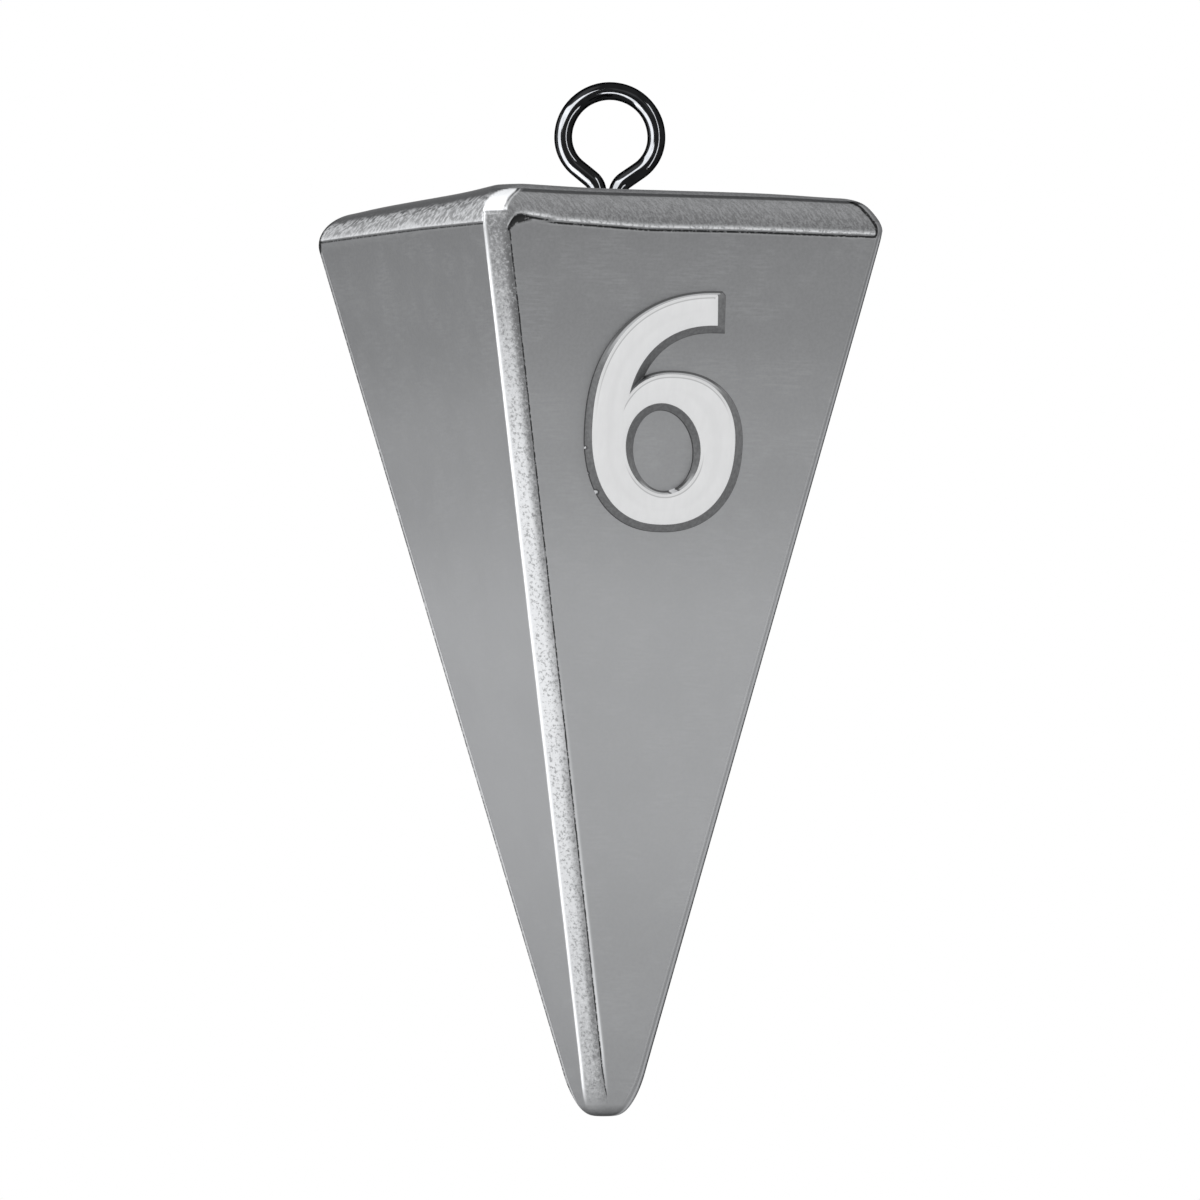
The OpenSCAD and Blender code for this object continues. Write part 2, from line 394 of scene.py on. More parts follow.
def top_height(x, y):
    """Lift of the flat top: the shrinkage dish, and the collar that follows both legs."""
    reach = RIM_IN - 0.5
    wide = 1 - rising(np.abs(x), 0, reach) ** 2
    deep = 1 - rising(np.abs(y), 0, reach) ** 2
    dish = -DISH_DEPTH * (wide * deep) ** 1.5
    along = (x - EYE_SHIFT) * math.cos(EYE_TURN) - y * math.sin(EYE_TURN)
    along += EYE_RISE * math.tan(EYE_LEAN)
    across = (x - EYE_SHIFT) * math.sin(EYE_TURN) + y * math.cos(EYE_TURN)
    past = np.hypot(np.maximum(np.abs(along) - LEG_X, 0), across)
    collar = COLLAR_H * np.exp(-np.maximum(past - WIRE_R, 0) ** 2 / COLLAR_SPREAD)
    return dish + collar


def side_values(along, away, z, side, border=None):
    """The panel's share, the groove's extra and the distance below the rim at places on a side.
    A side's border lies beside a corner, at its start (0) or its end (1)."""
    past = -z - np.interp(along, *RIM_LINES[side])
    low, over = sunk(past * RIM_LINE_SCALES[side])
    over = over * RIM_LINE_SHARES[side]
    edge, extra = np.ones_like(past), np.zeros_like(past)
    if border is not None:
        corner, end = border
        number = 2 * corner + end
        shift = BORDER_WOBBLE * float(wander(np.array(z), BORDER_SEED + number, BORDER_WAVES))
        groove_wobble = GROOVE_WOBBLE * float(wander(np.array(z), GROOVE_SEED + number, GROOVE_WAVES))
        deep = GROOVE_SHARES[corner][end] * (1 + groove_wobble)
        edge, extra = sunk(away - GROOVE_STARTS[corner] - shift)
        extra = extra * deep
    extra = np.maximum(extra * low, over * edge)
    if side == NEAR:
        nook = hill(along, *NOOK_ALONG) * hill(past, *NOOK_BELOW)
        extra = np.maximum(extra, NOOK_DEPTH * nook)
    return edge * low, extra, past


def flat_values(z):
    """Depth of the step on an edge's flat, and the distance below the rim there."""
    past = np.full(FLAT_COUNT, -z - CAP_LINE)
    groove = hill(past, 0.05, 0.07)
    shelf = rising(past, 0, 0.1) * (1 - rising(past, 0, STEP_FADE))
    return STEP_DEPTH * (groove + shelf), past


def casting_depths(corner, place, panel, half, z):
    """Over a corner and the panel after it: the panel's share, the groove's extra, the distance
    below the rim and the depth under a plain pyramid."""
    step, flat_past = flat_values(z)
    nothing = np.zeros(FLAT_COUNT)
    stretches = (
        side_values(place[BEFORE, 1] / half, AWAY[BEFORE], z, (corner - 1) % 4, (corner, 0)),
        (nothing, nothing, flat_past),
        side_values(-place[AFTER, 0] / half, AWAY[AFTER], z, corner, (corner, 1)),
        side_values(-panel[:, 0] / half, 1.0, z, corner),
    )
    low, over, past = (np.concatenate(values) for values in zip(*stretches))
    depth = PANEL_DEPTH * low + over
    depth[FLAT] = step
    return low, over, past, depth


def cap_values(beyond, z):
    """How far places belong to the painted highlight on the rim's near corner, and to the nick
    beside it, which is painted dark as shade and has a painted highlight line along it."""
    start = beyond - np.interp(z, *CAP_START)
    end = np.interp(z, *CAP_END) - beyond
    tall = rising(z, CAP_BOTTOM, 0.05) * rising(-z, -CAP_TOP, 0.07)
    cap = np.clip(start / CAP_SOFT + 0.5, 0, 1) * np.clip(end / CAP_SOFT + 0.5, 0, 1) * tall
    stripe = hill(end, *NICK_STRIPE) * tall
    nick = hill(end, *NICK) * tall
    return np.maximum(cap, 0.45 * stripe), nick


def edge_marks(corner, width, z, over):
    """Dark lines of painted shade along the far edges, drawn into the groove's extra, and the values
    of the painted highlight patch, the nick and the painted highlight lines."""
    cap, nick, line = np.zeros((3, len(over)))
    if corner == LEFT:
        dark = GROOVE_DEPTH * rising(-z, 0.05, 0.2)
        over[FLAT] = dark * rising(ACROSS[FLAT], *LEFT_SHADE_LINE)
        reach = np.interp(z, (-2.6, -1.8), (0.09, 0.34))
        over[AFTER] = np.maximum(over[AFTER], dark * hill(AWAY[AFTER], 0, reach))
    if corner == NEAR:
        beyond = np.concatenate((-AWAY[BEFORE], ACROSS[FLAT] * width, width + AWAY[AFTER]))
        cap[CORNER], nick[CORNER] = cap_values(beyond, z)
        line[AFTER] = np.interp(z, NEAR_LINE_SPAN, (0, 1, 0)) * hill(AWAY[AFTER], *NEAR_LINE)
    if corner == RIGHT:
        below = rising(-z, 2.4, 0.3)
        over[FLAT] = GROOVE_DEPTH * below * hill(ACROSS[FLAT], *RIGHT_SHADE_LINE)
        line[FLAT] = 0.6 * below * hill(ACROSS[FLAT], *RIGHT_LINE)
        if ARC_SPAN[0] < z < ARC_SPAN[1]:
            upright = math.sqrt(max(0.1, 1 - (1 + max(z, -RIM_R) / RIM_R) ** 2))
            start = np.interp(z, *ARC_PLACE)
            arc = GROOVE_DEPTH * hill(AWAY[BEFORE] * upright, start, ARC_WIDTH)
            over[BEFORE] = np.maximum(over[BEFORE], arc)
    return cap, nick, line


def bent(spots, half, z):
    """Spots on the level of a ring with the rim's right end tucked in, and their lift."""
    corners = half * np.array([(1, 1), (-1, 1), (-1, -1), (1, -1)])
    tuck = END_TUCK * hill(z, -1.0, 0.9)
    spots[:, 0] -= tuck * hill(np.hypot(*(spots - corners[RIGHT]).T), 0, TUCK_REACH)
    lift = 0
    for raised, corner in zip(CORNER_LIFTS, corners):
        lift = lift + raised * hill(np.hypot(*(spots - corner).T), 0, LIFT_REACH)
    return spots, lift


def casting_ring(half, z, rise, turned):
    """One ring of the casting: its points, and the values that its material reads."""
    fade = float(rising(z + BODY_H, 0.6, 1.1))
    bulge = EDGE_CROWN + (1 - EDGE_CROWN) * turned
    cuts = [corner_cut(corner, half, z, turned) for corner in range(4)]
    corners = []
    for cut, border in zip(cuts, BORDER_SOFT):
        softness = [min(soft, 0.2 * half) for soft in border]
        corners.append(corner_points(half, cut, bulge, softness))
    parts = []
    for corner in range(4):
        place, normal = corners[corner]
        following = corners[(corner + 1) % 4][0]
        end = np.array([-following[0, 1], following[0, 0]])
        panel = place[-1] + (end - place[-1]) * PANEL_SHARES[:, None]
        low, over, past, depth = casting_depths(corner, place, panel, half, z)
        depth = depth * fade
        place = np.vstack((place, panel))
        normal = np.vstack((normal, np.tile((0.0, 1.0), (len(panel), 1))))
        cap, nick, line = edge_marks(corner, math.sqrt(2) * cuts[corner], z, over)
        on_rim = 1 - np.clip(past / 0.08 + 1, 0, 1)
        # The rim's lower lip, which gets a painted highlight
        lip = hill(np.minimum(past + 0.06, 0), 0, 0.17) * on_rim
        dull = np.full(len(place), RIM_DULLNESS[corner])
        dull[BEFORE] = RIM_DULLNESS[corner - 1]
        if corner == NEAR:
            dull[FLAT] = np.linspace(RIM_DULLNESS[corner - 1], RIM_DULLNESS[corner], FLAT_COUNT)
        else:
            dull[FLAT] = 1
            lip[FLAT] = 0
        burnished = np.zeros(len(place))
        burnished[CORNER] = corner in (BACK, NEAR)
        turn = corner * math.pi / 2
        spin = np.array([[math.cos(turn), -math.sin(turn)], [math.sin(turn), math.cos(turn)]])
        spots = (place - normal * (depth * math.cos(TAPER))[:, None]) @ spin.T
        spots, lift = bent(spots, half, z)
        # The groove value is painted dark as shade: grooves, dark lines along the edges and the nick
        groove = np.maximum(over * fade / GROOVE_DEPTH, 0.45 * nick)
        parts.append(np.column_stack((
            spots, z + depth * math.sin(TAPER) + lift * rise,
            (1 - low) * fade, groove, on_rim, lip, ACROSS, np.full(len(place), rise), cap, dull,
            burnished, line,
        )))
    return np.vstack(parts)


def axis_point(height, **values):
    """A single point on the casting's axis, with its values, of which the others are 0."""
    return np.array([0.0, 0.0, height] + [values.get(label, 0) for label in CASTING_VALUES])


def make_casting():
    """The tapered block with its rim, edges and point, and a panel sunk into each side."""
    rows = body_profile()
    rings = []
    for half, z, rise, turned in rows:
        ring = casting_ring(half, z, rise, turned)
        if rise == 1.0:
            ring[:, 2] += top_height(ring[:, 0], ring[:, 1])
        rings.append(ring)
    count = len(rings[0])
    middle = axis_point(float(top_height(0.0, 0.0)), band=1, rim=1, rise=1, dull=1)
    stack = np.vstack((*rings, middle, axis_point(-BODY_H, dull=1)))
    faces = ring_faces(len(rows), count)
    top = len(stack) - 2
    low = len(stack) - 1
    last = (len(rows) - 1) * count
    for i in range(count):
        following = (i + 1) % count
        faces.append((i, following, top))
        faces.append((last + following, last + i, low))
    places = stack[:, :3] + np.array([-EYE_SHIFT, 0, -EYE_RISE])
    values = {label: stack[:, 3 + i] for i, label in enumerate(CASTING_VALUES)}
    piece = mesh_piece("lead_casting", places, faces, values)
    weighted = piece.modifiers.new("weighted", "WEIGHTED_NORMAL")
    weighted.keep_sharp = False
    weighted.weight = 90
    return piece


# The numeral is drawn from its upper left corner, as in the CAD: two strokes made of quarter
# curves, and a leaning counter. An offset moves its outline out, for the foot of its flanks.

ARM_X = NUMERAL_W * 0.81
STEM_Y = NUMERAL_H * 0.541
BOWL_X = NUMERAL_W * 0.53
BOWL_Y = NUMERAL_H * 0.671
BOWL_UP = NUMERAL_H * (0.671 - 0.349)
BOWL_DOWN = NUMERAL_H - BOWL_Y
BOWL_RIGHT = NUMERAL_W - BOWL_X
BOWL_LEFT = NUMERAL_W * 0.385
COUNTER_X = NUMERAL_W * 0.504
COUNTER_Y = NUMERAL_H * 0.672

# Flanks that face this way catch the light
LIT_WAY = np.array([-0.2, 0.98])


def quarter(cx, cy, rx, ry, first):
    """A quarter of a squarish ellipse, from the angle first on, as a fine line."""
    turn = np.radians(first + np.linspace(0, 90, 91))
    cosine = np.cos(turn)
    sine = np.sin(turn)
    x = cx + rx * np.sign(cosine) * np.abs(cosine) ** CURVE_POWER
    y = cy + ry * np.sign(sine) * np.abs(sine) ** CURVE_POWER
    return np.column_stack((x, y))


def even(line, count):
    """The line again, as a number of evenly spaced points with both its ends."""
    steps = lengths_along(line)
    return picked(line, steps, np.linspace(0, steps[-1], count))


def foot_push(way):
    """How much further the foot of a flank spreads where it faces a way, x and then y."""
    stretch = FOOT_STRETCH * (way[..., 0] ** 2 - way[..., 1] ** 2)
    return way[..., 0] * FOOT_SHIFT[0] + way[..., 1] * FOOT_SHIFT[1] + stretch


def pushed(line, offset, lean):
    """The line moved to its right by the offset and by the foot's spread."""
    line = even(line, 400)
    way = right_of(np.gradient(line, axis=0))
    return line + way * (offset + lean * foot_push(way))[:, None]


def crossing(first, second):
    """Where two lines first cross: the step on each and the place."""
    for i in range(len(first) - 1):
        start = first[i]
        way = first[i + 1] - start
        other = second[:-1]
        other_way = second[1:] - other
        cross = way[0] * other_way[:, 1] - way[1] * other_way[:, 0]
        gap = other - start
        cross = np.where(np.abs(cross) < 1e-12, 1e-12, cross)
        along = (gap[:, 0] * other_way[:, 1] - gap[:, 1] * other_way[:, 0]) / cross
        beside = (gap[:, 0] * way[1] - gap[:, 1] * way[0]) / cross
        hits = np.nonzero((along >= 0) & (along <= 1) & (beside >= 0) & (beside <= 1))[0]
        if len(hits):
            return i, hits[0], start + way * along[hits[0]]
    raise ValueError("the strokes of the numeral don't meet")


def numeral_loop(offset, lean):
    """The numeral's outer outline, counter-clockwise, moved out by the offset. The lean is 1 at
    the foot of the flanks, which spread most to the right and to the bottom."""
    outer = np.vstack((
        quarter(ARM_X, -STEM_Y, ARM_X, STEM_Y, 90),
        quarter(BOWL_X, -STEM_Y, BOWL_X, NUMERAL_H - STEM_Y, 180)[1:],
        quarter(BOWL_X, -BOWL_Y, BOWL_RIGHT, BOWL_DOWN, 270)[1:],
        quarter(BOWL_X, -BOWL_Y, BOWL_RIGHT, BOWL_UP, 0)[1:],
    ))
    bowl_top = quarter(BOWL_X, -BOWL_Y, BOWL_LEFT, BOWL_UP, 90)
    inner = quarter(ARM_X, -STEM_Y, ARM_X - STROKE_W, STEM_Y - THIN_STROKE_W, 90)[::-1]
    outer = pushed(outer, offset, lean)
    bowl_top = pushed(bowl_top, offset, lean)
    inner = pushed(inner, offset, lean)
    at_bowl, at_inner, notch = crossing(bowl_top, inner)
    right, up, down = offset + lean * foot_push(np.array([(1, 0), (0, 1), (0, -1)]))
    end_x = ARM_X + right - FACE_SHORT
    low_x = end_x + ARM_SLANT
    corner = ARM_ROUND + FOOT_ROUND * lean
    end = np.array([
        [low_x, -THIN_STROKE_W - down], [end_x, up - corner], [end_x - corner, up]
    ])
    outer = np.vstack((end[2], outer[np.argmax(outer[:, 0] < end_x - corner):]))
    inner = inner[at_inner + 1:]
    inner = np.vstack((notch, inner[inner[:, 0] < low_x], end[0]))
    return np.vstack((
        even(outer, 320)[:-1],
        even(np.vstack((bowl_top[:at_bowl + 1], notch)), 50)[:-1],
        even(inner, 84)[:-1],
        even(end, 17)[:-1],
    ))


def loop_ways(loop):
    """The direction away from the stroke at each point of an outline."""
    return right_of(np.roll(loop, -1, axis=0) - np.roll(loop, 1, axis=0))


def counter_loop(offset, lean):
    """The outline of the counter, clockwise, moved into the counter by the offset."""
    turn = np.linspace(0, 2 * np.pi, 180, endpoint=False)[::-1]
    x = (BOWL_RIGHT - STROKE_W * BOWL_STROKE - offset) * np.cos(turn)
    y = (BOWL_DOWN - THIN_STROKE_W * BOWL_STROKE - offset) * np.sin(turn)
    tilt = math.radians(COUNTER_LEAN)
    loop = np.column_stack((
        COUNTER_X + x * math.cos(tilt) - y * math.sin(tilt),
        -COUNTER_Y + x * math.sin(tilt) + y * math.cos(tilt),
    ))
    way = loop_ways(loop)
    return loop + way * (lean * foot_push(way))[:, None]


def inside(points, loop):
    """Which points lie inside a closed loop."""
    x, y = points[:, 0][:, None], points[:, 1][:, None]
    start, end = loop, np.roll(loop, -1, axis=0)
    spans = (start[:, 1] > y) != (end[:, 1] > y)
    rise = np.where(end[:, 1] == start[:, 1], 1e-12, end[:, 1] - start[:, 1])
    cut = start[:, 0] + (y - start[:, 1]) * (end[:, 0] - start[:, 0]) / rise
    return (np.sum(spans & (x < cut), axis=1) % 2) == 1


def nearest(points, loops):
    """Distance of each point from the nearest outline."""
    rim = np.vstack(loops)
    return np.array([np.min(np.hypot(*(rim - point).T)) for point in points])


def fill(loops, spacing):
    """Triangles between an outer and an inner loop, with an even field of points inside."""
    outer, inner = loops
    xs = np.arange(outer[:, 0].min(), outer[:, 0].max(), spacing)
    ys = np.arange(outer[:, 1].min(), outer[:, 1].max(), spacing * 0.87)
    field = np.array([(x + (row % 2) * spacing / 2, y) for row, y in enumerate(ys) for x in xs])
    field = field[inside(field, outer) & ~inside(field, inner)]
    field = field[nearest(field, loops) > spacing * 0.55]
    rim = np.vstack((outer, inner))
    edges = [(i, (i + 1) % len(outer)) for i in range(len(outer))]
    edges += [
        (len(outer) + i, len(outer) + (i + 1) % len(inner)) for i in range(len(inner))
    ]
    everything = np.vstack((rim, field))
    result = delaunay_2d_cdt([Vector(p) for p in everything], edges, [], 0, 1e-7)
    if len(result[0]) != len(everything):
        raise ValueError("the numeral's outline crosses itself")
    triangles = np.array([face for face in result[2] if len(face) == 3])
    middles = everything[triangles].mean(axis=1)
    keep = inside(middles, outer) & ~inside(middles, inner)
    return everything, triangles[keep]


def on_side(points):
    """Moves points from the numeral's own plane onto the casting's side, height last."""
    x = points[:, 0] - NUMERAL_LEFT - NUMERAL_W / 2 - EYE_SHIFT
    down = -(points[:, 1] - NUMERAL_DROP)
    height = points[:, 2]
    y = -BASE_W / 2 + down * math.sin(TAPER) - height * math.cos(TAPER)
    z = -EYE_RISE - down * math.cos(TAPER) - height * math.sin(TAPER)
    return np.column_stack((x, y, z))


def numeral_solid(name, levels, crown):
    """A closed plate in the numeral's shape whose walls pass through levels (offset, height,
    lean, mark). The marks stay on its points for the material, and which of them face up and
    to the left."""
    level_loops = [
        (numeral_loop(offset, lean), counter_loop(offset, lean)) for offset, _, lean, _ in levels
    ]
    outer_count, inner_count = (len(loop) for loop in level_loops[0])
    size = outer_count + inner_count
    walls = []
    marks = []
    facing = []
    for loops, (_, height, _, mark) in zip(level_loops, levels):
        walls.append(np.column_stack((np.vstack(loops), np.full(size, height))))
        marks.append(np.full(size, mark))
        facing.append(np.vstack([loop_ways(loop) for loop in loops]) @ LIT_WAY)
    faces = []
    for level in range(len(levels) - 1):
        for start, count in ((0, outer_count), (outer_count, inner_count)):
            for i in range(count):
                low = level * size + start
                high = low + size
                following = (i + 1) % count
                faces.append((low + i, low + following, high + following, high + i))
    points = np.vstack(walls)
    depth = [np.zeros(len(points))]
    for level, up in ((0, False), (len(levels) - 1, True)):
        height, mark = levels[level][1], levels[level][3]
        flat, triangles = fill(level_loops[level], FIELD_STEP)
        inner_points = flat[size:]
        distance = nearest(inner_points, level_loops[level])
        height = height + (crown(distance) if up else np.zeros_like(distance))
        number = np.concatenate((
            np.arange(size) + level * size, np.arange(len(inner_points)) + len(points)
        ))
        points = np.vstack((points, np.column_stack((inner_points, height))))
        depth.append(distance)
        marks.append(np.full(len(inner_points), mark))
        facing.append(np.zeros(len(inner_points)))
        for face in number[triangles]:
            faces.append(tuple(int(v) for v in (face if up else face[::-1])))
    chips = [
        hill(np.hypot(points[:, 0] - x, points[:, 1] + y), 0, radius) for x, y, radius in CHIPS
    ]
    return mesh_piece(name, on_side(points), faces, {
        "inset": np.concatenate(depth),
        "mark": np.concatenate(marks),
        "facing": np.concatenate(facing),
        "chip": np.max(chips, axis=0),
    })


def make_relief():
    """The cast relief under the enamel, whose flanks spread at their foot to the lower right."""
    # The last value of each level marks painted shade along the flanks' foot
    levels = (
        (0.46, -0.13, 1.0, 1.0), (0.45, -0.085, 1.0, 1.0), (0.43, -0.04, 1.0, 0.95),
        (0.4, 0.0, 0.98, 0.8), (0.33, 0.06, 0.82, 0.65), (0.25, 0.14, 0.62, 0.5),
        (0.17, 0.23, 0.41, 0.35), (0.1, 0.32, 0.2, 0.2), (0.05, 0.38, 0.07, 0.1),
        (0.01, 0.41, 0.0, 0.0), (-0.03, RELIEF_H, 0.0, 0.0),
    )
    return numeral_solid("numeral_relief", levels, np.zeros_like)


def make_enamel():
    """The white face on the relief: paint with a soft edge, a bevel painted with shade at the upper
    left, and a slight crown."""
    levels = (
        (0.0, RELIEF_H - 0.04, 0.0, 0.0), (0.015, RELIEF_H - 0.01, 0.0, 0.2),
        (0.005, RELIEF_H + 0.01, 0.0, 0.2), (-0.025, RELIEF_H + 0.024, 0.0, 0.25),
        (-0.12, RELIEF_H + 0.036, 0.0, 0.2), (-0.15, RELIEF_H + 0.04, 0.0, 1.0),
        (-0.195, RELIEF_H + 0.044, 0.0, 1.0), (-0.225, RELIEF_H + 0.053, 0.0, 0.0),
        (-0.265, RELIEF_H + 0.058, 0.0, 0.0),
    )

    def crown(distance):
        """Paint stands highest a little way in, and lower along the middle of a stroke."""
        swell = 0.02 * (1 - np.exp(-distance / 0.12))
        return swell - 0.012 * hill(distance, 0.75, 0.22)

    return numeral_solid("numeral_face", levels, crown)


def wire_path():
    """The wire's middle line in its own plane, from the foot of one leg to that of the other."""
    shoulder_x = EYE_R - SHOULDER_R
    shoulder_end_x = shoulder_x + SHOULDER_R * math.cos(SHOULDER_TURN)
    shoulder_end_y = -SHOULDER_R * math.sin(SHOULDER_TURN)
    neck_x = LEG_X + NECK_R
    neck_start_x = neck_x - NECK_R * math.cos(SHOULDER_TURN)
    slant = (shoulder_end_x - neck_start_x) / math.sin(SHOULDER_TURN)
    neck_start_y = shoulder_end_y - slant * math.cos(SHOULDER_TURN)
    neck_drop = NECK_R * math.sin(SHOULDER_TURN) - neck_start_y
    leg_end = EYE_RISE + LEG_DEPTH
    half = []

    def arc(cx, cy, radius, start, end, count):
        """Carries the line on along an arc."""
        for share in np.linspace(0, 1, count)[1:]:
            turn = start + (end - start) * share
            half.append((cx + radius * math.cos(turn), cy + radius * math.sin(turn)))

    def straight(x, y, count):
        """Carries the line straight on to a place."""
        x0, y0 = half[-1]
        for share in np.linspace(0, 1, count)[1:]:
            half.append((x0 + (x - x0) * share, y0 + (y - y0) * share))

    half.append((0.0, EYE_R))
    arc(0, 0, EYE_R, math.pi / 2, 0, 60)
    arc(shoulder_x, 0, SHOULDER_R, 0, -SHOULDER_TURN, 36)
    straight(neck_start_x, neck_start_y, 10)
    arc(neck_x, -neck_drop, NECK_R, math.pi - SHOULDER_TURN, math.pi, 22)
    straight(LEG_X, -leg_end, 14)
    arc(LEG_X + ANCHOR_R, -leg_end, ANCHOR_R, math.pi, 1.5 * math.pi, 16)
    straight(LEG_X + ANCHOR_R + ANCHOR_L, -leg_end - ANCHOR_R, 5)
    half = np.array(half)
    mirrored = half[::-1] * np.array([-1, 1])
    path = np.vstack((mirrored, half[1:]))
    x = path[:, 0] * math.cos(EYE_LEAN) + path[:, 1] * math.sin(EYE_LEAN)
    y = path[:, 1] * math.cos(EYE_LEAN) - path[:, 0] * math.sin(EYE_LEAN)
    return np.column_stack((x, y))


def wire_section():
    """The wire's outline as drawn through a worn die: round, with four faintly flat places."""
    turns = np.linspace(0, 2 * np.pi, 720, endpoint=False)
    flatness = np.zeros_like(turns)
    for place in WIRE_FLATS:
        gap = (turns - math.radians(place) + np.pi) % (2 * np.pi) - np.pi
        flatness += hill(gap, 0, FLAT_WIDTH)
    bend = 1 + FLAT_STRENGTH * flatness
    step = np.column_stack((-np.sin(turns), np.cos(turns))) * bend[:, None]
    outline = np.cumsum(step, axis=0)
    outline -= (outline.max(axis=0) + outline.min(axis=0)) / 2
    outline /= np.hypot(*outline.T).max()
    steps = lengths_along(outline)
    places = np.linspace(0, steps[-1], SECTION_POINTS, endpoint=False)
    return picked(outline, steps, places)


def make_wire():
    """The bent wire: an eye, two legs side by side down into the lead and their outward feet."""
    path = wire_path()
    side = right_of(np.gradient(path, axis=0))
    size = WIRE_SIZE + WIRE_WOBBLE * wander(lengths_along(path), WIRE_SEED, WIRE_WAVES)
    section = wire_section() * WIRE_R
    count = len(section)
    rings = []
    for place, out, grow in zip(path, side, size):
        flat = place + out * (section[:, 0] * grow)[:, None]
        deep = section[:, 1] * grow
        x = flat[:, 0] * math.cos(EYE_TURN) - deep * math.sin(EYE_TURN)
        y = -flat[:, 0] * math.sin(EYE_TURN) - deep * math.cos(EYE_TURN)
        rings.append(np.column_stack((x, y, flat[:, 1])))
    points = np.vstack(rings)
    faces = [face[::-1] for face in ring_faces(len(rings), count)]
    faces.append(tuple(range(count))[::-1])
    faces.append(tuple(range(len(points) - count, len(points))))
    return mesh_piece("eye_wire", points, faces)


# Helpers for node materials. Most take only the sockets they work on, which know their tree.

def add(tree, kind, inputs=None, **settings):
    """A node with its settings, whose inputs are set or linked."""
    node = tree.nodes.new(kind)
    for name, value in settings.items():
        setattr(node, name, value)
    for key, value in (inputs or {}).items():
        if isinstance(value, bpy.types.NodeSocket):
            tree.links.new(value, node.inputs[key])
        else:
            node.inputs[key].default_value = value
    return node


def maths(operation, *values):
    """The result of a Math node on a socket and other sockets or numbers."""
    tree = values[0].id_data
    return add(tree, "ShaderNodeMath", dict(enumerate(values)), operation=operation).outputs[0]


def times(first, second):
    """Two values multiplied."""
    return maths("MULTIPLY", first, second)


def span(value, low, high, to_low=0.0, to_high=1.0):
    """A value moved from one range to another, softly and within it."""
    return add(value.id_data, "ShaderNodeMapRange", {
        0: value, 1: low, 2: high, 3: to_low, 4: to_high
    }, interpolation_type="SMOOTHSTEP").outputs[0]


def mixed(factor, first, second):
    """Two colours blended by a factor."""
    inputs = {0: factor, 6: first, 7: second}
    return add(factor.id_data, "ShaderNodeMix", inputs, data_type="RGBA").outputs[2]


def blended(factor, first, second):
    """Two values blended by a factor."""
    return add(factor.id_data, "ShaderNodeMix", {0: factor, 2: first, 3: second}).outputs[0]


def grey(level, blue=0.012):
    """A neutral colour, a trace cooler than grey."""
    return (level * (1 - blue), level, level * (1 + blue * 1.6), 1)


def noise(place, scale, detail=3.0, roughness=0.55, stretch=(1, 1, 1), turn=None):
    """Noise with a feature size in millimetres, that may be stretched along each axis, after a
    turn in degrees."""
    tree = place.id_data
    if turn:
        turned = tuple(math.radians(part) for part in turn)
        place = add(tree, "ShaderNodeMapping", {"Vector": place, "Rotation": turned}).outputs[0]
    size = tuple(1 / (scale * MM * part) for part in stretch)
    moved = add(tree, "ShaderNodeMapping", {"Vector": place, "Scale": size})
    node = add(tree, "ShaderNodeTexNoise", {
        "Vector": moved.outputs[0], "Scale": 1.0, "Detail": detail, "Roughness": roughness
    })
    return node.outputs["Fac"]


def attribute(material, name):
    """A named value that the mesh carries."""
    node = add(material.node_tree, "ShaderNodeAttribute", attribute_name=name)
    return node.outputs["Fac"]


def bump(height, strength, distance, **inputs):
    """A normal that follows a height, over a distance in millimetres."""
    return add(height.id_data, "ShaderNodeBump", {
        "Height": height, "Strength": strength, "Distance": distance * MM, **inputs
    }).outputs[0]


def new_material(name):
    """A node material that holds no shader yet, and the places on its object."""
    material = bpy.data.materials.new(name)
    material.use_nodes = True
    material.node_tree.nodes.clear()
    return material, add(material.node_tree, "ShaderNodeTexCoord").outputs["Object"]


def shaded(material, inputs):
    """The material again, now that it ends in a Principled shader with these inputs."""
    shader = add(material.node_tree, "ShaderNodeBsdfPrincipled", inputs)
    add(material.node_tree, "ShaderNodeOutputMaterial", {"Surface": shader.outputs[0]})
    return material


def tone_ramp(height, tones):
    """A grey that follows the height over the point, from 0 there to 1 at the flat top."""
    tree = height.id_data
    low = -(EYE_RISE + BODY_H) * MM
    share = add(tree, "ShaderNodeMapRange", {0: height, 1: low, 2: -EYE_RISE * MM}).outputs[0]
    ramp = add(tree, "ShaderNodeValToRGB", {"Fac": share})
    ramp.color_ramp.interpolation = "EASE"
    stops = ramp.color_ramp.elements
    stops[0].position, stops[0].color = tones[0][0], grey(tones[0][1])
    stops[1].position, stops[1].color = tones[-1][0], grey(tones[-1][1])
    for place, level in tones[1:-1]:
        stops.new(place).color = grey(level)
    return ramp.outputs["Color"]


# Levels of grey from the point up to the flat top, painted light and shade that follows the
# height, with painted shade at the very point: of the sides, of a burnished edge's flat and of
# its darker half next to the side after it, whose darkness is painted shade
SIDE_TONES = (
    (0.0, 0.1), (0.004, 0.2), (0.012, 0.38), (0.14, 0.43), (0.33, 0.49), (0.52, 0.495),
    (0.72, 0.385), (0.88, 0.3), (1.0, 0.26),
)
BAND_TONES = (
    (0.0, 0.1), (0.004, 0.2), (0.012, 0.42), (0.08, 0.5), (0.14, 0.62), (0.24, 0.69),
    (0.35, 0.74), (0.45, 0.78), (0.66, 0.75), (0.71, 0.72), (0.76, 0.64), (0.816, 0.56),
    (0.869, 0.41), (0.922, 0.3), (0.96, 0.23), (0.968, 0.32), (1.0, 0.5),
)
SHADED_HALF_TONES = (
    (0.0, 0.1), (0.004, 0.2), (0.012, 0.34), (0.13, 0.28), (0.24, 0.42), (0.34, 0.42),
    (0.42, 0.62), (0.47, 0.58), (0.56, 0.43), (0.62, 0.36), (0.72, 0.26), (0.92, 0.15), (1.0, 0.3),
)


